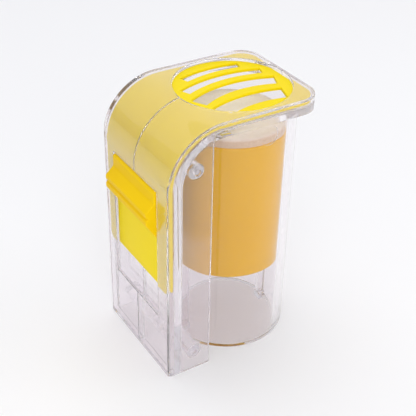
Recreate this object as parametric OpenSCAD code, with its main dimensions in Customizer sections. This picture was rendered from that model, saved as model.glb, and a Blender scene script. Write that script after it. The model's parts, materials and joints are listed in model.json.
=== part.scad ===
// One-hand queen cage: a clear casing in two mirrored halves, a clear chamber tube,
// a flexible yellow shutter that slides round the bend, and a plunger with a soft pad.
// Millimetres, +Z up. The cage stands on the rim of its tube and on the foot of its casing.
// +X runs from the window side to the tube side, and +Y towards the far half of the casing.
$fn = 96;

/* [Casing] */
// Width over both side walls
casing_w = 40; // [34:0.5:56]
// Height from the foot to the top plate's outer face
casing_h = 86.7; // [76:0.1:110]
// Length of the top plate from the window face to its front edge
plate_l = 52.6; // [52.4:0.1:56]
// Depth of the side walls behind the window face
box_depth = 14.9; // [12.8:0.1:17]
// Outer radius of the bend between window face and top plate
bend_r = 18.3; // [15:0.1:22]
// Corner radius of the top plate's front corners, seen from above
corner_r = 7; // [3:0.1:9]
// Radius on the upright edges beside the window face
edge_r = 1.2; // [0.6:0.1:2]

/* [Walls] */
// Thickness of the outer skin
skin_t = 1; // [0.8:0.05:1.4]
// Thickness of the side walls
side_t = 1.2; // [0.9:0.05:1.8]
// Thickness of the rail across the plate's front edge
front_t = 1; // [0.6:0.05:1.2]
// Height of the channel that the shutter runs in
channel_gap = 1.4; // [1.2:0.05:2]
// Thickness of the inner wall that guides the shutter
guide_t = 2.4; // [1.2:0.05:2.8]
// Thickness of the foot that closes the channel's lower end
foot_t = 1.2; // [0.8:0.1:2.5]

/* [Window] */
// Width of the window
window_w = 26.4; // [18:0.1:31]
// Height of the window's sill above the foot
sill_z = 21.4; // [14:0.1:28]
// Height of the window's upper edge above the foot
lintel_z = 66.3; // [58:0.1:68]

/* [Joining pillars] */
// Outer diameter of the pillars between the halves
pillar_d = 4.8; // [3.6:0.1:5.4]
// Diameter of the peg on each far pillar
peg_d = 2; // [1.4:0.1:2.6]
// Length of each peg
peg_l = 3.6; // [2:0.1:6]
// Radial clearance between a peg and its socket
peg_clear = 0.05; // [0.03:0.01:0.1]
// Depth of the moulding mark in each pillar's outer end
mark_depth = 0.5; // [0.2:0.1:0.8]
// Height of the lower pillars above the foot
low_pillar_z = 6.7; // [5:0.1:12]
// Drop of the upper pillars below the top plate's outer face
high_pillar_drop = 13.2; // [12.6:0.1:16]
// Distance of the pillars from the window face
pillar_x = 9.5; // [8.2:0.1:10]

/* [Chamber tube] */
// Outer diameter of the tube
tube_od = 40; // [36:0.1:40]
// Wall thickness of the tube
tube_wall = 2.8; // [1.6:0.1:3.6]
// Distance of the tube's axis from the window face
tube_x = 33.56; // [32:0.02:33.6]
// Thickness of the flange under the shutter channel
flange_t = 2.3; // [1:0.1:2.6]
// Diameter of the round opening in the top plate
opening_d = 35.8; // [30:0.1:36]
// Height of the two stop ribs that the plunger rests on
rib_h = 27.7; // [14:0.1:36]
// Thickness of a stop rib
rib_t = 1.8; // [1.2:0.1:3]
// How far a stop rib stands out of the bore
rib_reach = 2.9; // [2:0.1:4]
// Width of the thicker foot of each rib
rib_foot_w = 3.2; // [2:0.1:5]
// Height of the thicker foot of each rib
rib_foot_h = 2.4; // [1:0.1:5]
// Diameter of the round gate mark on the tube's near side
gate_d = 6; // [3:0.1:7]
// Depth of the gate mark
gate_depth = 0.15; // [0.05:0.05:0.4]
// Drop of the gate mark's centre below the top plate's outer face
gate_drop = 8.2; // [8:0.1:20]

/* [Shutter] */
// Thickness of the flexible strip
strip_t = 1; // [0.7:0.05:1.1]
// Clearance between the strip's side edge and the side wall
strip_clear = 0.3; // [0.15:0.05:0.6]
// Height of the strip's lower end above the foot with the shutter closed
tail_z = 31.9; // [30:0.1:38]
// Corner radius at the strip's lower end
tail_r = 2.5; // [1:0.1:5]
// Centre line of each slot where it bows out most, from the mid-plane
slot_mid = [13.1, 7.35, 0.3, -9.1]; // [-14:0.05:14]
// Width of each slot
slot_w = [3.3, 3.6, 5.4, 6.5]; // [1.5:0.1:6.5]
// Radius that each slot's centre line bows with
slot_bow_r = [38, 38, 32, 33]; // [26:0.5:60]
// Half the length of each slot
slot_half_l = [10.2, 14.1, 14.2, 11.4]; // [6:0.1:14.5]
// How far in front of the tube's axis the slots bow out most
slot_bow_x = 1.8; // [0:0.1:3]

/* [Thumb slider] */
// Height of the thumb slider
slider_h = 16.1; // [12:0.1:20]
// How far its ridges stand out of the window face
slider_reach = 3.2; // [2.4:0.1:6]
// Clearance all round in the window
slider_clear = 0.4; // [0.2:0.05:0.8]
// How far its upper plate stands out of the window face
slider_plate = 0.5; // [0.2:0.1:1]
// Number of ridges
ridge_count = 2; // [1:1:4]
// Depth of the grooves between and beside the ridges
ridge_depth = 0.9; // [0.4:0.1:1.2]

/* [Plunger] */
// Radial clearance between the plunger and the bore
plunger_clear = 0.4; // [0.25:0.05:0.8]
// Length of the hollow plunger without its pad
plunger_l = 46.6; // [24:0.1:47]
// Wall thickness of the plunger
plunger_wall = 1.6; // [1:0.1:2.4]
// Thickness of the plunger's closed top
plunger_top = 2; // [1:0.1:4]
// Thickness of the soft pad on the plunger
pad_t = 3; // [1.5:0.1:5]
// How much smaller the pad's radius is than the plunger's
pad_inset = 0.3; // [0:0.1:1.5]

/* [Hidden] */
mid_x = (tube_x + tube_od / 2 - slider_reach) / 2;
half_w = casing_w / 2;
far_x = plate_l + tube_od;
inner_half = half_w - side_t;
floor_d = skin_t + channel_gap;
guide_d = floor_d + guide_t;
opening_r = opening_d / 2;
tube_r = tube_od / 2;
bore_r = tube_r - tube_wall;
flange_back_gap = 0.6;
flange_x = tube_x - tube_r - flange_back_gap;
wall_fit = 0.05;
high_pillar_z = casing_h - high_pillar_drop;
mark_d = peg_d;
socket_extra = 0.6;
strip_float = (channel_gap - strip_t) / 2;
strip_d = skin_t + strip_float;
strip_half = inner_half - strip_clear;
strip_front = plate_l - front_t - strip_clear;
body_gap = 0.1;
slider_top = lintel_z - slider_clear;
slider_base = slider_top - slider_h;
slider_half = window_w / 2 - slider_clear;
slider_lead = 5.3;
slider_foot = 5.4;
plunger_r = bore_r - plunger_clear;
plunger_z = rib_h;
pad_z = plunger_z + plunger_l;
clear_col = [0.86, 0.84, 0.87, 0.45];
yellow = [0.98, 0.84, 0.05];
amber = [0.93, 0.66, 0.18];
foam = [0.95, 0.92, 0.86];

// Moves the casing's corner frame, with X = 0 at the window face, to the centred one
module placed() {
    translate([-mid_x, 0, 0]) children();
}

// Carries an X-Z outline along Y from y0 to y1
module across(y0, y1) {
    translate([0, y1, 0]) rotate([90, 0, 0]) linear_extrude(y1 - y0) children();
}

// X-Z outline of everything deeper than d below the outer surface
module cane(d) {
    translate([d, 0]) square([far_x - d, casing_h - bend_r]);
    translate([bend_r, 0]) square([far_x - bend_r, casing_h - d]);
    translate([bend_r, casing_h - bend_r]) circle(r = bend_r - d);
}

// X-Z outline of the layer between depths d0 and d1, up to x = x_end
module band(d0, d1, x_end) {
    intersection() {
        difference() {
            cane(d0);
            cane(d1);
        }
        square([x_end, casing_h]);
    }
}

// X-Y outline from x0 to x1 with rounded front corners
module tongue(x0, x1, half, r) {
    translate([x0, -half]) square([x1 - r - x0, 2 * half]);
    translate([x0, r - half]) square([x1 - x0, 2 * (half - r)]);
    for (side = [-1, 1]) translate([x1 - r, side * (half - r)]) circle(r = r);
}

// X-Y outline of the casing, with small back edges and large front corners
module casing_plan() {
    tongue(edge_r, plate_l, half_w, corner_r);
    translate([0, edge_r - half_w]) square([2 * edge_r, 2 * (half_w - edge_r)]);
    for (side = [-1, 1]) translate([edge_r, side * (half_w - edge_r)]) circle(r = edge_r);
}

// The near half of the casing, without its pegs and sockets
module half_shell() {
    difference() {
        intersection() {
            union() {
                across(-half_w, 0) band(0, skin_t, plate_l);
                across(-half_w, -inner_half) band(0, floor_d, plate_l);
                across(-half_w, -inner_half) side_wall();
                across(-half_w, 0) band(floor_d, guide_d, flange_x - wall_fit);
                across(-half_w, 0) square([guide_d, foot_t]);
                front_rail();
            }
            translate([0, -half_w, 0]) cube([plate_l, half_w, casing_h]);
            linear_extrude(casing_h) casing_plan();
        }
        translate([-1, -window_w / 2, sill_z])
            cube([1 + skin_t, window_w, lintel_z - sill_z]);
        translate([tube_x, 0, casing_h - floor_d])
            cylinder(r = opening_r, h = floor_d + 1);
    }
}

module side_wall() {
    intersection() {
        cane(0);
        square([box_depth, casing_h]);
    }
}

module front_rail() {
    translate([0, 0, casing_h - floor_d]) linear_extrude(floor_d) difference() {
        tongue(bend_r, plate_l, half_w, corner_r);
        tongue(bend_r - 1, plate_l - front_t, inner_half, corner_r - side_t);
    }
}

// Pillars from one side wall to the mid-plane
module pillars() {
    for (z = [low_pillar_z, high_pillar_z])
        translate([pillar_x, 0, z]) rotate([90, 0, 0]) cylinder(d = pillar_d, h = half_w - side_t / 2);
}

// Small round moulding marks in the outer ends of the pillars
module pillar_marks() {
    for (z = [low_pillar_z, high_pillar_z])
        translate([pillar_x, -half_w - 1, z]) rotate([-90, 0, 0]) cylinder(d = mark_d, h = 1 + mark_depth);
}

module near_casing() {
    socket_r = peg_d / 2 + peg_clear;
    color(clear_col) placed() difference() {
        union() {
            half_shell();
            pillars();
        }
        pillar_marks();
        for (z = [low_pillar_z, high_pillar_z])
            translate([pillar_x, 1, z]) rotate([90, 0, 0])
                cylinder(r = socket_r, h = peg_l + socket_extra + 1);
    }
}

module far_casing() {
    color(clear_col) placed() {
        mirror([0, 1, 0]) difference() {
            union() {
                half_shell();
                pillars();
            }
            pillar_marks();
        }
        for (z = [low_pillar_z, high_pillar_z])
            translate([pillar_x, 1, z]) rotate([90, 0, 0]) cylinder(d = peg_d, h = peg_l + 1);
    }
}

// Flange under the channel: narrow between the side walls, full width in front of them
module flange() {
    back_x = max(box_depth, flange_x) + wall_fit;
    intersection() {
        across(-half_w, half_w) band(floor_d, floor_d + flange_t, plate_l);
        linear_extrude(casing_h) union() {
            tongue(back_x, plate_l, half_w, corner_r);
            translate([flange_x, wall_fit - inner_half])
                square([back_x + 1 - flange_x, 2 * (inner_half - wall_fit)]);
        }
    }
}

// Two upright ribs in the mid-plane, thicker at the foot
module stop_ribs() {
    outer = tube_wall / 2;
    for (turn = [0, 180]) rotate([0, 0, turn]) translate([bore_r - rib_reach, 0, 0]) {
        translate([0, -rib_t / 2, 0]) cube([rib_reach + outer, rib_t, rib_h]);
        translate([0, -rib_foot_w / 2, 0]) cube([rib_reach + outer, rib_foot_w, rib_foot_h]);
    }
}

// Shallow round recess that follows the tube's outer face on the near side
module gate_mark() {
    translate([tube_x, 0, casing_h - gate_drop]) difference() {
        rotate([90, 0, 0]) cylinder(d = gate_d, h = tube_r + 1);
        cylinder(r = tube_r - gate_depth, h = 2 * gate_d, center = true);
    }
}

module chamber_tube() {
    color(clear_col) placed() {
        difference() {
            union() {
                intersection() {
                    translate([tube_x, 0, 0]) cylinder(r = tube_r, h = casing_h);
                    across(-half_w - 1, half_w + 1) cane(floor_d);
                }
                flange();
            }
            translate([tube_x, 0, -1]) cylinder(r = bore_r, h = casing_h + 2);
            gate_mark();
        }
        translate([tube_x, 0, 0]) stop_ribs();
    }
}

// Slot that follows a wide arc and ends square to it
module arc_slot(mid_y, width, bow_r, half_l) {
    left = asin((-half_l - slot_bow_x) / bow_r);
    right = asin((half_l - slot_bow_x) / bow_r);
    reach = 2 * bow_r;
    translate([tube_x + slot_bow_x, mid_y - bow_r]) intersection() {
        difference() {
            circle(r = bow_r + width / 2);
            circle(r = bow_r - width / 2);
        }
        polygon([[0, 0], reach * [sin(left), cos(left)], reach * [sin(right), cos(right)]]);
    }
}

module shutter_grille() {
    front_r = corner_r - side_t - strip_clear;
    color(yellow) placed() translate([0, 0, casing_h - strip_d - strip_t])
        linear_extrude(strip_t) difference() {
            tongue(bend_r, strip_front, strip_half, front_r);
            for (i = [0 : len(slot_mid) - 1])
                arc_slot(slot_mid[i], slot_w[i], slot_bow_r[i], slot_half_l[i]);
        }
}

module shutter_bend() {
    color(yellow) placed() across(-strip_half, strip_half) intersection() {
        band(strip_d, strip_d + strip_t, bend_r);
        translate([0, casing_h - bend_r]) square(bend_r);
    }
}

module shutter_tail() {
    tail_l = casing_h - bend_r - body_gap - tail_z;
    color(yellow) placed() translate([strip_d, 0, tail_z]) rotate([90, 0, 90])
        linear_extrude(strip_t) {
            translate([-strip_half, tail_r]) square([2 * strip_half, tail_l - tail_r]);
            translate([tail_r - strip_half, 0]) square([2 * (strip_half - tail_r), tail_l]);
            for (side = [-1, 1]) translate([side * (strip_half - tail_r), tail_r]) circle(r = tail_r);
        }
}

// X-Z outline of the thumb slider: a thin plate above, ridges, and a long flank below
module slider_outline() {
    crest_top = slider_top - slider_lead;
    crest_low = slider_base + slider_foot;
    pitch = (crest_top - crest_low) / ridge_count;
    groove = pitch / 4;
    groove_x = ridge_depth - slider_reach;
    polygon([
        [strip_d, slider_base],
        [skin_t / 2, slider_base],
        for (i = [0 : ridge_count - 1]) let (z = crest_low + i * pitch) each [
            [i == 0 ? -slider_reach : groove_x, z],
            [-slider_reach, z + (i == 0 ? groove / 2 : groove)],
            [-slider_reach, z + pitch - groove]
        ],
        [groove_x, crest_top],
        [-slider_plate, crest_top - slider_plate - groove_x],
        [-slider_plate, slider_top - slider_plate],
        [0, slider_top],
        [strip_d, slider_top]
    ]);
}

module thumb_slider() {
    color(yellow) placed() across(-slider_half, slider_half) slider_outline();
}

module plunger_cup() {
    color(amber) placed() translate([tube_x, 0, plunger_z]) difference() {
        cylinder(r = plunger_r, h = plunger_l);
        translate([0, 0, -1]) cylinder(r = plunger_r - plunger_wall, h = plunger_l + 1 - plunger_top);
    }
}

module plunger_pad() {
    color(foam) placed() translate([tube_x, 0, pad_z]) cylinder(r = plunger_r - pad_inset, h = pad_t);
}

near_casing();
far_casing();
chamber_tube();
shutter_grille();
shutter_bend();
shutter_tail();
thumb_slider();
plunger_cup();
plunger_pad();
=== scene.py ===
import json
import math
import bmesh
import bpy
import numpy as np
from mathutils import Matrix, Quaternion, Vector


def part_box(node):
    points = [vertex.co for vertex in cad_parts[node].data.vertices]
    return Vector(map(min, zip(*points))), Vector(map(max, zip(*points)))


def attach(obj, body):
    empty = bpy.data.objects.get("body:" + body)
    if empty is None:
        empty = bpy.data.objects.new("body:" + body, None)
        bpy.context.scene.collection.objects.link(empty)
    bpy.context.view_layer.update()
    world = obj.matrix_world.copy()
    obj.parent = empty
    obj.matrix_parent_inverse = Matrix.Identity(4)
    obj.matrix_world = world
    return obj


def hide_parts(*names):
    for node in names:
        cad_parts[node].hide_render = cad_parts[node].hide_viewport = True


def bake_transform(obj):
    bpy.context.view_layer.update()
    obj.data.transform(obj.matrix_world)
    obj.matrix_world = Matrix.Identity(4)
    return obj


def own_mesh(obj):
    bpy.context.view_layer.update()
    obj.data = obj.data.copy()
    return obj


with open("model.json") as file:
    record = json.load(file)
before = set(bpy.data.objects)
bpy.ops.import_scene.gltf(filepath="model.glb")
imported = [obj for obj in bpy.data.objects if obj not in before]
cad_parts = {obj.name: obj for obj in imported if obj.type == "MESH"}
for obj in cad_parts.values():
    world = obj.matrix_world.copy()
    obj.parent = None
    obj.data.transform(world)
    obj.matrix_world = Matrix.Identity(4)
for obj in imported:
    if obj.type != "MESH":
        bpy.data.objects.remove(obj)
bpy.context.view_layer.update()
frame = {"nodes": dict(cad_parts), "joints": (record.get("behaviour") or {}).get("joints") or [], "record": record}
mm = 0.001


# camera, floor and light come first
camera = {"azimuth": -32.73, "elevation": 33.76, "roll": 1.38, "distance": 280.8 * mm, "lens": 76.28,
          "lookAt": (0.84 * mm, 0, 44.71 * mm), "sensor": 36, "clipStart": 0.01}
studio = {"floorHalf": 3, "floor": (0.9, 0.9, 0.9), "floorRough": 0.8, "low": (0.66, 0.6, 0.66),
          "high": (0.94, 0.96, 1.0), "highFrom": 0.7, "strength": 0.71}
warm = (1, 0.985, 0.96)
lampAim = (0, 0, 45 * mm)
lamps = {
    "keyLight": {"place": (-0.35, -0.55, 0.75), "size": (0.7, 0.6), "power": 1.6, "colour": warm},
    "frontLight": {"place": (-0.4, -0.8, 0.32), "size": (0.9, 0.6), "power": 3.2, "colour": warm},
    "sideLight": {"place": (0.75, -0.35, 0.4), "size": (0.6, 0.6), "power": 1.5, "colour": (1, 0.97, 0.95)},
    "topLight": {"place": (0.05, 0.15, 0.8), "size": (0.7, 0.4), "power": 1.1, "colour": (0.97, 0.98, 1)},
    "backLight": {"place": (0.05, 0.95, 0.6), "size": (1.8, 0.5), "power": 1.5, "colour": (1, 0.98, 1)},
}
lightPaths = {"all": 160, "glossy": 160, "through": 160, "open": 64}


class Wire:
    # a socket of a node tree that takes part in sums and products
    def __init__(self, tree, socket=None):
        self.tree = tree
        self.socket = socket

    # any node: its type, its settings, then the values or links of its sockets
    def node(self, kind, settings, sockets, out=0):
        made = self.tree.nodes.new(kind)
        for key, value in settings.items():
            if key == "stops":
                fillRamp(made.color_ramp, value)
            else:
                setattr(made, key, value)
        for key, value in sockets.items():
            if isinstance(value, Wire):
                self.tree.links.new(value.socket, made.inputs[key])
            else:
                made.inputs[key].default_value = value
        return Wire(self.tree, made.outputs[out] if made.outputs else None)

    def maths(self, operation, first, second):
        return self.node("ShaderNodeMath", {"operation": operation}, {0: first, 1: second})

    def __add__(self, other):
        return self.maths("ADD", self, other)

    def __mul__(self, other):
        return self.maths("MULTIPLY", self, other)

    def __pow__(self, other):
        return self.maths("POWER", self, other)

    __radd__ = __add__
    __rmul__ = __mul__


def fillRamp(ramp, stops):
    while len(ramp.elements) < len(stops):
        ramp.elements.new(0.5)
    for element, (place, colour) in zip(ramp.elements, stops):
        element.position = place
        element.color = (*colour, 1)


# goes from one colour to another as the factor goes from 0 to 1
def mixed(factor, first, second):
    ends = [end if isinstance(end, Wire) else (*end, 1) for end in (first, second)]
    return factor.node("ShaderNodeMix", {"data_type": "RGBA"}, {0: factor, 6: ends[0], 7: ends[1]}, 2)


def emptyTree(owner):
    owner.use_nodes = True
    owner.node_tree.nodes.clear()
    return Wire(owner.node_tree)


def addToScene(obj):
    bpy.context.scene.collection.objects.link(obj)
    return obj


def makeCamera(c):
    turn, tilt = math.radians(c["azimuth"]), math.radians(c["elevation"])
    back = Vector((math.sin(turn) * math.cos(tilt), -math.cos(turn) * math.cos(tilt), math.sin(tilt)))
    data = bpy.data.cameras.new("camera")
    data.sensor_width = c["sensor"]
    data.lens = c["lens"]
    data.clip_start = c["clipStart"]
    obj = addToScene(bpy.data.objects.new("camera", data))
    obj.rotation_mode = "QUATERNION"
    obj.location = Vector(c["lookAt"]) + back * c["distance"]
    roll = Quaternion((0, 0, 1), math.radians(c["roll"]))
    obj.rotation_quaternion = (-back).to_track_quat("-Z", "Y") @ roll
    bpy.context.scene.camera = obj


def makeFloor(s):
    half = s["floorHalf"]
    corners = [(-half, -half, 0), (half, -half, 0), (half, half, 0), (-half, half, 0)]
    mesh = bpy.data.meshes.new("floor")
    mesh.from_pydata(corners, [], [(0, 1, 2, 3)])
    obj = addToScene(bpy.data.objects.new("floor", mesh))
    paper = bpy.data.materials.new("floorPaper")
    w = emptyTree(paper)
    w.node("ShaderNodeOutputMaterial", {}, {"Surface": w.node("ShaderNodeBsdfPrincipled", {}, {
        "Base Color": (*s["floor"], 1), "Roughness": s["floorRough"]})})
    mesh.materials.append(paper)


# the surroundings are a little darker and pinker near the horizon than overhead
def makeSurroundings(s):
    world = bpy.data.worlds.new("studio")
    bpy.context.scene.world = world
    w = emptyTree(world)
    way = w.node("ShaderNodeTexCoord", {}, {}, "Generated")
    height = w.node("ShaderNodeSeparateXYZ", {}, {0: way}, 2)
    stops = ((0.0, s["low"]), (s["highFrom"], s["high"]))
    colour = w.node("ShaderNodeValToRGB", {"stops": stops}, {0: height})
    w.node("ShaderNodeOutputWorld", {}, {"Surface": w.node("ShaderNodeBackground", {}, {
        "Color": colour, "Strength": s["strength"]})})


def makeLamp(name, lamp):
    data = bpy.data.lights.new(name, "AREA")
    data.shape = "RECTANGLE"
    data.size, data.size_y = lamp["size"]
    data.energy = lamp["power"]
    data.color = lamp["colour"]
    obj = addToScene(bpy.data.objects.new(name, data))
    obj.visible_transmission = False
    obj.location = lamp["place"]
    obj.rotation_euler = (Vector(lampAim) - obj.location).to_track_quat("-Z", "Y").to_euler()


makeCamera(camera)
makeFloor(studio)
makeSurroundings(studio)
for lampName, lamp in lamps.items():
    makeLamp(lampName, lamp)
scene = bpy.context.scene
scene.view_settings.view_transform = "Standard"
# light passes many walls of clear plastic, and runs a long way inside the rounded corners of the lip
scene.cycles.max_bounces = lightPaths["all"]
scene.cycles.glossy_bounces = lightPaths["glossy"]
scene.cycles.transmission_bounces = lightPaths["through"]
scene.cycles.transparent_max_bounces = lightPaths["open"]
print("studio: camera, floor and", len(lamps), "lamps")


# materials
clearLook = {"ior": 1.5, "rough": 0.015, "scuff": 0.12,
             "waveScale": 60, "waveDepth": 0.05 * mm, "scuffScale": 700}
casingLook = {"tint": (0.955, 0.935, 0.955), "lampTint": (0.96, 0.94, 0.95), "clear": 0.97}
tubeLook = {"tint": (0.93, 0.905, 0.92), "lampTint": (1.0, 0.98, 0.99), "clear": 1.0}
shutterLook = {"light": (0.91, 0.73, 0.003), "deep": (0.88, 0.67, 0.002), "cloudScale": 40,
               "grainScale": 1500, "grainDepth": 0.012 * mm,
               "rough": 0.36, "roughSpread": 0.14, "shine": 0.1}
sliderLook = {"light": (0.87, 0.6, 0.002), "deep": (0.82, 0.52, 0.001), "cloudScale": 60,
              "grainScale": 1800, "grainDepth": 0.015 * mm,
              "rough": 0.4, "roughSpread": 0.16, "shine": 0.1}
amberLook = {"light": (0.93, 0.56, 0.01), "deep": (0.88, 0.49, 0.006), "cloudScale": 30,
             "grainScale": 1200, "grainDepth": 0.015 * mm,
             "rough": 0.5, "roughSpread": 0.15, "shine": 0.06}
# the side colours are painted shade and painted amber light bounced from the cup, fading in just below the pad's
# face
foamLook = {"light": (0.98, 0.96, 0.94), "deep": (0.94, 0.9, 0.87), "sideLight": (0.8, 0.63, 0.46),
            "sideShadedAmberDeep": (0.7, 0.52, 0.35), "sideShadeFade": 1.0 * mm, "cellScale": 1400, "cellDepth": 0.12 * mm,
            "cellBump": 0.8, "cloudScale": 350, "cloudShare": 0.4, "rough": 0.9, "sheen": 0.2}


# clear polished moulding with a trace of haze: faint flow waves bend the view, fine scuffs dull the gloss
def clearPlastic(name, look):
    made = bpy.data.materials.new(name)
    w = emptyTree(made)
    place = w.node("ShaderNodeTexCoord", {}, {}, "Object")
    wave = w.node("ShaderNodeTexNoise", {}, {"Vector": place, "Scale": look["waveScale"], "Detail": 1.0})
    scuff = w.node("ShaderNodeTexNoise", {}, {"Vector": place, "Scale": look["scuffScale"], "Detail": 3.0})
    normal = w.node("ShaderNodeBump", {}, {"Height": wave, "Strength": 1.0, "Distance": look["waveDepth"]})
    plastic = w.node("ShaderNodeBsdfPrincipled", {}, {
        "Base Color": (*look["tint"], 1), "Roughness": look["rough"] + look["scuff"] * scuff ** 4,
        "IOR": look["ior"], "Transmission Weight": look["clear"], "Normal": normal})
    # lamps shine through the thin walls
    lampRay = w.node("ShaderNodeLightPath", {}, {}, "Is Shadow Ray")
    passed = w.node("ShaderNodeBsdfTransparent", {}, {"Color": (*look["lampTint"], 1)})
    w.node("ShaderNodeOutputMaterial", {}, {
        "Surface": w.node("ShaderNodeMixShader", {}, {0: lampRay, 1: plastic, 2: passed})})
    return made


# coloured moulding: soft clouds of deeper colour and a fine satin grain
def colouredPlastic(name, look):
    made = bpy.data.materials.new(name)
    w = emptyTree(made)
    place = w.node("ShaderNodeTexCoord", {}, {}, "Object")
    cloud = w.node("ShaderNodeTexNoise", {}, {"Vector": place, "Scale": look["cloudScale"], "Detail": 2.0})
    grain = w.node("ShaderNodeTexNoise", {}, {"Vector": place, "Scale": look["grainScale"], "Detail": 3.0})
    colour = mixed(cloud, look["deep"], look["light"])
    normal = w.node("ShaderNodeBump", {},
                    {"Height": grain, "Strength": 1.0, "Distance": look["grainDepth"]})
    w.node("ShaderNodeOutputMaterial", {}, {"Surface": w.node("ShaderNodeBsdfPrincipled", {}, {
        "Base Color": colour, "Roughness": look["rough"] + look["roughSpread"] * grain,
        "Specular IOR Level": look["shine"], "Normal": normal})})
    return made


# soft foam: open cells, darker in their hollows as painted shade, and below its face a side painted with shade and
# with the amber light bounced from the cup
def foam(name, look):
    made = bpy.data.materials.new(name)
    w = emptyTree(made)
    place = w.node("ShaderNodeTexCoord", {}, {}, "Object")
    cell = w.node("ShaderNodeTexVoronoi", {}, {"Vector": place, "Scale": look["cellScale"]}, "Distance")
    cloud = w.node("ShaderNodeTexNoise", {}, {"Vector": place, "Scale": look["cloudScale"], "Detail": 3.0})
    # the cells darken the colour in their hollows as painted shade; the cloud adds tone that differs at random
    depth = w.node("ShaderNodeMath", {"operation": "MULTIPLY", "use_clamp": True},
                   {0: cell + look["cloudShare"] * cloud, 1: 1.0})
    height = w.node("ShaderNodeSeparateXYZ", {}, {0: place}, 2)
    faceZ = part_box("plunger_pad")[1][2]
    # below its face the pad's side turns darker and peach: painted shade and painted amber bounce light from the
    # cup
    face = w.node("ShaderNodeMapRange", {},
                  {"Value": height, "From Min": faceZ - look["sideShadeFade"], "From Max": faceZ})
    deep = mixed(face, look["sideShadedAmberDeep"], look["deep"])
    light = mixed(face, look["sideLight"], look["light"])
    normal = w.node("ShaderNodeBump", {},
                    {"Height": depth, "Strength": look["cellBump"], "Distance": look["cellDepth"]})
    w.node("ShaderNodeOutputMaterial", {}, {"Surface": w.node("ShaderNodeBsdfPrincipled", {}, {
        "Base Color": mixed(depth, deep, light), "Roughness": look["rough"],
        "Sheen Weight": look["sheen"], "Normal": normal})})
    return made


finishes = {
    "clear_casing": clearPlastic("clearCasing", {**clearLook, **casingLook}),
    "clear_tube": clearPlastic("clearTube", {**clearLook, **tubeLook}),
    "shutter_yellow": colouredPlastic("shutterYellow", shutterLook),
    "slider_yellow": colouredPlastic("sliderYellow", sliderLook),
    "plunger_amber": colouredPlastic("plungerAmber", amberLook),
    "pad_foam": foam("padFoam", foamLook),
}
print("materials:", len(finishes))


# geometry
edging = {"join": 0.002 * mm, "flat": math.radians(0.5), "sharp": math.radians(35), "share": 0.42,
          "segments": 3, "shadingWeight": 80, "planeSpan": 0.02 * mm, "rimSpan": 0.1 * mm}
gridJoin = 0.001 * mm  # grid points nearer than this are one, as at a pole


def slotOf(node):
    parts = frame["record"]["subparts"]
    return next(part["material_slot"] for part in parts if part["node"] == node)


# gives a finished piece its material, hides the nodes it stands for, and hangs it on its body if one is given
def settle(obj, nodes, body=None):
    slotName = slotOf(nodes[0])
    obj.data.materials.clear()
    obj.data.materials.append(finishes[slotName])
    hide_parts(*nodes)
    if body:
        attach(obj, body)
    print("piece:", obj.name, len(obj.data.polygons), "faces")
    return obj


# quads between neighbouring rows of a grid whose last column joins its first, and a cap at each end
def wrappedGrid(rows, cols, caps=True):
    i = np.arange(rows - 1)[:, None]
    j = np.arange(cols)[None, :]
    nextJ = (j + 1) % cols
    quads = np.stack([i * cols + j, i * cols + nextJ, (i + 1) * cols + nextJ, (i + 1) * cols + j], -1)
    faces = quads.reshape(-1, 4).tolist()
    if caps:
        faces.append(list(range(cols))[::-1])
        faces.append(list(range((rows - 1) * cols, rows * cols)))
    return faces


def meshPiece(name, points, faces, smoothAngle=40):
    mesh = bpy.data.meshes.new(name)
    mesh.from_pydata(points.reshape(-1, 3).tolist(), [], faces)
    bm = bmesh.new()
    bm.from_mesh(mesh)
    bmesh.ops.remove_doubles(bm, verts=bm.verts, dist=gridJoin)
    bmesh.ops.recalc_face_normals(bm, faces=bm.faces)
    bm.to_mesh(mesh)
    bm.free()
    mesh.shade_smooth()
    mesh.set_sharp_from_angle(angle=math.radians(smoothAngle))
    return addToScene(bpy.data.objects.new(name, mesh))


# walks along straight sides and rounds each corner B of radius r: with u and v the unit ways to its two
# neighbours and c half the angle between them, the arc's centre is r / sin c from B and its ends r / tan c
def roundedPath(corners, radii, closed, steps=8):
    corners = np.array(corners, float)
    count = len(corners)
    path = []
    for k, (corner, radius) in enumerate(zip(corners, radii)):
        atEnd = not closed and k in (0, count - 1)
        if atEnd or radius <= 0:
            path.append(corner[None])
            continue
        u = corners[k - 1] - corner
        v = corners[(k + 1) % count] - corner
        u, v = u / np.linalg.norm(u), v / np.linalg.norm(v)
        half = math.acos(np.clip(u @ v, -1, 1)) / 2
        middle = corner + (u + v) / np.linalg.norm(u + v) * radius / math.sin(half)
        first = corner + u * radius / math.tan(half) - middle
        last = corner + v * radius / math.tan(half) - middle
        sweep = math.pi - 2 * half
        t = np.linspace(0, 1, steps + 1)[:, None]
        arc = (np.sin((1 - t) * sweep) * first + np.sin(t * sweep) * last) / math.sin(sweep)
        path.append(middle + arc)
    return np.concatenate(path)


# P(u, v) = (axisX + r(v) cos u, r(v) sin u, z(v)): the outline (r, z) turned about the upright axis
def lathe(name, outline, axisX, turns=160):
    u = np.linspace(0, 2 * np.pi, turns, endpoint=False)[None, :]
    r, z = outline[:, 0, None], outline[:, 1, None]
    points = np.stack([axisX + r * np.cos(u), r * np.sin(u), z + 0 * u], -1)
    return meshPiece(name, points, wrappedGrid(len(outline), turns, caps=False))


# how wide an edge may be rounded: a share of the shortest way across either face beside it, or what is
# asked if that is less
def roomBeside(line, asked):
    share = edging["share"]
    along = (line.verts[1].co - line.verts[0].co).normalized()
    spans = [asked / share]
    for end in line.verts:
        for side in end.link_edges:
            across = along.cross(side.other_vert(end).co - end.co).length
            if across > 0.5 * side.calc_length():
                spans.append(across)
    return share * min(spans)


# the edges that run on from one edge, as far as the corners where three or more of the given edges meet
def runOf(line, given):
    found, waiting = {line}, [line]
    while waiting:
        for end in waiting.pop().verts:
            meeting = [side for side in end.link_edges if side in given]
            if len(meeting) == 2:
                waiting += [side for side in meeting if side not in found]
                found.update(meeting)
    return found


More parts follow.
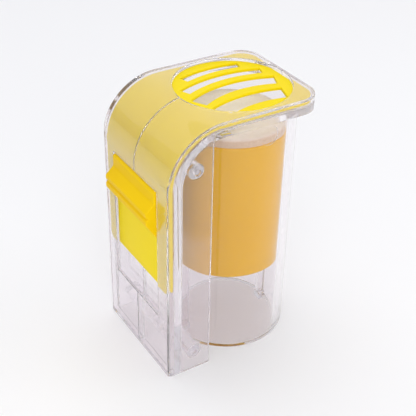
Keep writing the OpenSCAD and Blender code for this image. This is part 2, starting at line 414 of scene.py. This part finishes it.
# does the edge lie in the plane where the coordinate along axis is place?
def liesIn(line, axis, place):
    return all(abs(end.co[axis] - place) < edging["planeSpan"] for end in line.verts)


# does the edge lie on the upright cylinder, no lower than topZ?
def liesOnRim(line, axisX, radius, topZ):
    near = edging["rimSpan"]
    return all(abs(math.hypot(end.co.x - axisX, end.co.y) - radius) < near and end.co.z > topZ - near
               for end in line.verts)


# a copy of a node's mesh: its loose triangles joined, its flats made whole, its faces drawn in by a hair so
# that pieces that touch don't share a face, and its edges rounded, but for those in the planes plainAt
# (axis, place); the upper edge of a round opening (axis x, radius, edge) is rounded more widely
def moulded(name, node, hair, edge, plainAt=(), opening=None):
    mesh = frame["nodes"][node].data.copy()
    mesh.name = name
    bm = bmesh.new()
    bm.from_mesh(mesh)
    bmesh.ops.remove_doubles(bm, verts=bm.verts, dist=edging["join"])
    bmesh.ops.dissolve_limit(bm, angle_limit=edging["flat"], verts=bm.verts, edges=bm.edges)
    weight = bm.edges.layers.float.new("bevel_weight_edge")
    axisX, radius, widest = opening or (0, 0, edge)
    topZ = max(point.co.z for point in bm.verts)
    room = {}
    for line in bm.edges:
        if line.calc_face_angle(0) <= edging["sharp"]:
            continue
        if any(liesIn(line, axis, place) for axis, place in plainAt):
            line.smooth = False
            continue
        rim = opening and liesOnRim(line, axisX, radius, topZ)
        room[line] = roomBeside(line, widest if rim else edge)
    while room:
        run = runOf(next(iter(room)), room)
        narrowest = min(room[line] for line in run)
        for line in run:
            line[weight] = narrowest / widest
            del room[line]
    bm.to_mesh(mesh)
    bm.free()
    mesh.shade_smooth()
    obj = addToScene(bpy.data.objects.new(name, mesh))
    if hair:
        drawnIn = obj.modifiers.new("drawnIn", "DISPLACE")
        drawnIn.mid_level = 0
        drawnIn.strength = -hair
    bevel = obj.modifiers.new("roundedEdges", "BEVEL")
    bevel.limit_method = "WEIGHT"
    bevel.width = widest
    bevel.segments = edging["segments"]
    bevel.use_clamp_overlap = False
    bevel.loop_slide = False
    shading = obj.modifiers.new("evenShading", "WEIGHTED_NORMAL")
    shading.weight = edging["shadingWeight"]
    shading.keep_sharp = True
    return obj


casing = {"hair": 0.02 * mm, "edge": 0.3 * mm, "openingRadius": 17.9 * mm, "openingEdge": 0.6 * mm}
padLow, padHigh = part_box("plunger_pad")
roundOpening = ((padLow[0] + padHigh[0]) / 2, casing["openingRadius"], casing["openingEdge"])
for half in ("near", "far"):
    node = half + "_casing"
    shell = moulded(half + "Casing", node, casing["hair"], casing["edge"], opening=roundOpening)
    settle(shell, [node], "casing")

# the underside of the flange runs into the tube's wall at a fine angle, so its edges stay as they are
tube = {"hair": 0.02 * mm, "edge": 0.35 * mm, "flangeFoot": 82.0 * mm}
tubePiece = moulded("chamberTube", "chamber_tube", tube["hair"], tube["edge"],
                    plainAt=[(2, tube["flangeFoot"])])
settle(tubePiece, ["chamber_tube"], "casing")

grille = {"edge": 0.18 * mm}
grilleLow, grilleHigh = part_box("shutter_grille")
grillePiece = moulded("shutterGrille", "shutter_grille", 0, grille["edge"], plainAt=[(0, grilleLow[0])])
settle(grillePiece, ["shutter_grille"], "casing")
travel = next(joint for joint in frame["joints"] if joint["name"] == "shutter_slide")["range_m"][1]
grilleLength = grilleHigh[0] - grilleLow[0]
1 - travel / grilleLength
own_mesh(grillePiece)

# P(u, v) for the strip: u runs back round the bend and down to the tail, and v once round the section,
# whose half width is w(u) = W - R + sqrt(R^2 - (R - d)^2) within the corner radius R of the end, where d is
# what is left of the path
strip = {"edge": 0.3 * mm, "cornerRadius": 2.5 * mm, "bendSteps": 48, "blendSteps": 16, "tailSteps": 24,
         "cornerSteps": 14, "blendLength": 2.3 * mm}


def makeStrip(s):
    bendLow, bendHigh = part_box("shutter_bend")
    tailLow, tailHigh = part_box("shutter_tail")
    thick = tailHigh[0] - tailLow[0]
    halfWidth = tailHigh[1]
    axisX, axisZ = bendHigh[0], bendLow[2]
    radius = bendHigh[2] - axisZ - thick / 2
    bendLength = radius * math.pi / 2
    total = bendLength + axisZ - tailLow[2]
    cornerTurn = np.linspace(0, np.pi / 2, s["cornerSteps"])
    along = np.concatenate([
        np.linspace(0, bendLength, s["bendSteps"]),
        np.linspace(bendLength, bendLength + s["blendLength"], s["blendSteps"])[1:],
        np.linspace(bendLength + s["blendLength"], total - s["cornerRadius"], s["tailSteps"])[1:],
        total - s["cornerRadius"] * (1 - np.sin(cornerTurn[1:]))])
    turn = np.clip(along / radius, 0, np.pi / 2)
    down = np.clip(along - bendLength, 0, None)
    centre = np.stack([axisX - radius * np.sin(turn), 0 * turn, axisZ + radius * np.cos(turn) - down], -1)
    outward = np.stack([-np.sin(turn), 0 * turn, np.cos(turn)], -1)
    left = np.clip(total - along, 0, s["cornerRadius"])
    width = halfWidth - s["cornerRadius"] + np.sqrt(
        s["cornerRadius"] ** 2 - (s["cornerRadius"] - left) ** 2)
    edgeLeft = np.clip(total - along, 0, s["edge"])
    lift = thick / 2 - s["edge"] + np.sqrt(s["edge"] ** 2 - (s["edge"] - edgeLeft) ** 2)
    across = np.array([(-1, -1), (1, -1), (1, 1), (-1, 1)], float)
    quarter = np.linspace(0, np.pi / 2, 5)
    corner = np.stack([np.cos(quarter), np.sin(quarter)], -1)
    start = [np.pi, -np.pi / 2, 0, np.pi / 2]
    unit = np.concatenate([np.stack([np.cos(a + quarter), np.sin(a + quarter)], -1) for a in start])
    sign = np.repeat(across, len(corner), axis=0)
    y = sign[None, :, 0] * (width[:, None] - s["edge"]) + s["edge"] * unit[None, :, 0]
    n = sign[None, :, 1] * (lift[:, None] - s["edge"]) + s["edge"] * unit[None, :, 1]
    points = centre[:, None, :] + n[..., None] * outward[:, None, :]
    points[..., 1] += y
    obj = meshPiece("shutterStrip", points, wrappedGrid(len(along), len(unit)))
    settle(obj, ["shutter_bend", "shutter_tail"])
    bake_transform(obj)


makeStrip(strip)

# P(u, v) = (x(v), y(u), z(v)) for the slider, drawn in towards its outline's middle at both rounded ends; the
# ridges stand between ridgeFoot and ridgeTop, and each is flat from crestFrom to crestTo of its pitch and
# falls to the groove at grooveAt
slider = {"plate": 0.5 * mm, "faceX": 3.2 * mm, "faceRound": 0.25 * mm, "footRound": 0.3 * mm,
          "ridges": 2, "ridgeTop": 5.3 * mm, "ridgeFoot": 5.4 * mm, "tipRound": 0.4 * mm,
          "crestFrom": 0.1, "crestTo": 0.62,
          "grooveAt": 0.9, "grooveDepth": 0.9 * mm, "grooveRound": 0.2 * mm,
          "neckAt": 0.5, "neckRound": 1.0 * mm, "endRound": 0.3 * mm, "endSteps": 7, "sharpAngle": 30}


def makeSlider(s):
    low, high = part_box("thumb_slider")
    face = low[0] + s["faceX"]
    crestTop, crestLow = high[2] - s["ridgeTop"], low[2] + s["ridgeFoot"]
    pitch = (crestTop - crestLow) / s["ridges"]
    corners = [(high[0], low[2]), (face + s["plate"], low[2])]
    radii = [0, s["footRound"]]
    for k in range(s["ridges"]):
        z = crestLow + k * pitch
        corners += [(low[0], z + s["crestFrom"] * pitch), (low[0], z + s["crestTo"] * pitch),
                    (low[0] + s["grooveDepth"], z + s["grooveAt"] * pitch)]
        radii += [s["tipRound"], s["tipRound"], s["grooveRound"]]
    plateX = face - s["plate"]
    corners += [(plateX, crestTop + s["neckAt"] * pitch), (plateX, high[2] - s["plate"]), (face, high[2]),
                (high[0], high[2])]
    radii += [s["neckRound"], s["faceRound"], s["faceRound"], 0]
    outline = roundedPath(corners, radii, closed=True, steps=6)
    before, after = np.roll(outline, 1, 0), np.roll(outline, -1, 0)
    side = after - before
    inward = np.stack([-side[:, 1], side[:, 0]], -1) / np.linalg.norm(side, axis=1)[:, None]
    area = np.sum(outline[:, 0] * after[:, 1] - after[:, 0] * outline[:, 1])
    inward *= np.sign(area)
    turn = np.linspace(0, np.pi / 2, s["endSteps"])
    endY = high[1] - s["endRound"] * (1 - np.sin(turn))
    endIn = s["endRound"] * (1 - np.cos(turn))
    y = np.concatenate([-endY[::-1], endY])
    drawn = np.concatenate([endIn[::-1], endIn])
    flat = outline[None] + drawn[:, None, None] * inward[None]
    flat[..., 0] = np.clip(flat[..., 0], None, high[0])
    points = np.stack([flat[..., 0], y[:, None] + 0 * flat[..., 0], flat[..., 1]], -1)
    obj = meshPiece("thumbSlider", points, wrappedGrid(len(y), len(outline)), s["sharpAngle"])
    settle(obj, ["thumb_slider"], "shutter")


makeSlider(slider)

# the plunger is a cup turned upside down
plunger = {"wall": 1.6 * mm, "top": 2.0 * mm, "rim": 0.5 * mm, "shoulder": 0.8 * mm, "inner": 1.0 * mm}


def makePlunger(s):
    low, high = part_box("plunger_cup")
    axisX, radius = (low[0] + high[0]) / 2, high[1]
    inside, ceiling = radius - s["wall"], high[2] - s["top"]
    corners = [(0, high[2]), (radius, high[2]), (radius, low[2]), (inside, low[2]), (inside, ceiling),
               (0, ceiling)]
    radii = [0, s["shoulder"], s["rim"], s["rim"], s["inner"], 0]
    outline = roundedPath(corners, radii, closed=False)
    settle(lathe("plungerCup", outline, axisX), ["plunger_cup"], "plunger")


makePlunger(plunger)

# the pad is a foam disc: domed a little, with soft edges and a slack waist
pad = {"edge": 0.9 * mm, "footEdge": 0.3 * mm, "dome": 0.25 * mm, "waist": 0.2 * mm, "waistRound": 2.0 * mm,
       "fill": 0.9}


def makePad(s):
    low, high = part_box("plunger_pad")
    axisX, radius = (low[0] + high[0]) / 2, high[1]
    middle = (low[2] + high[2]) / 2
    corners = [(0, high[2]), (radius, high[2] - s["dome"]), (radius - s["waist"], middle), (radius, low[2]),
               (0, low[2])]
    outline = roundedPath(corners, [0, s["edge"], s["waistRound"], s["footEdge"], 0], closed=False)
    obj = lathe("plungerPad", outline, axisX)
    settle(obj, ["plunger_pad"], "plunger")


makePad(pad)
